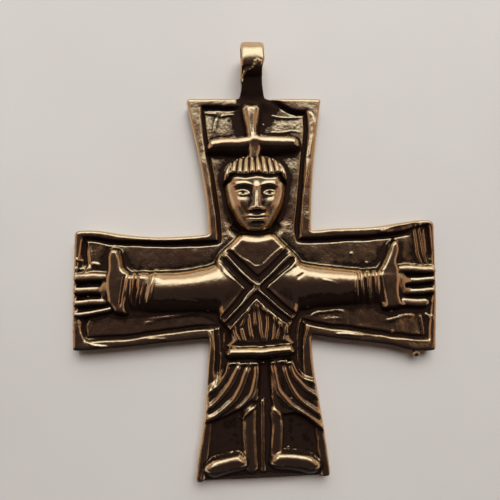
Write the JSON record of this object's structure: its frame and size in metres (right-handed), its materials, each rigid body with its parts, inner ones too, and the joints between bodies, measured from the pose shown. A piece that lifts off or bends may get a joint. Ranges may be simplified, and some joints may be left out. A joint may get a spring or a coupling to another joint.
{
  "type": "cross pendant",
  "caption": "Flared cross pendant cast in bronze, with a raised figure with outstretched arms on its face, a raised rim and a bail cast in one for a cord or chain.",
  "frame": {"origin": "on the flat back, under the middle of the crossing of the four arms", "axes": "+X along the arms to the viewer's right, +Y up the cross to the bail, +Z out of the face; the pendant lies on its back on z = 0"},
  "size_m": [0.0458, 0.056, 0.0052],
  "materials": {
    "bronze": "cast bronze, polished on the raised forms and dark brown in the recesses"
  },
  "bodies": {
    "root": {"cross_pendant": "bronze"}
  },
  "joints": []
}
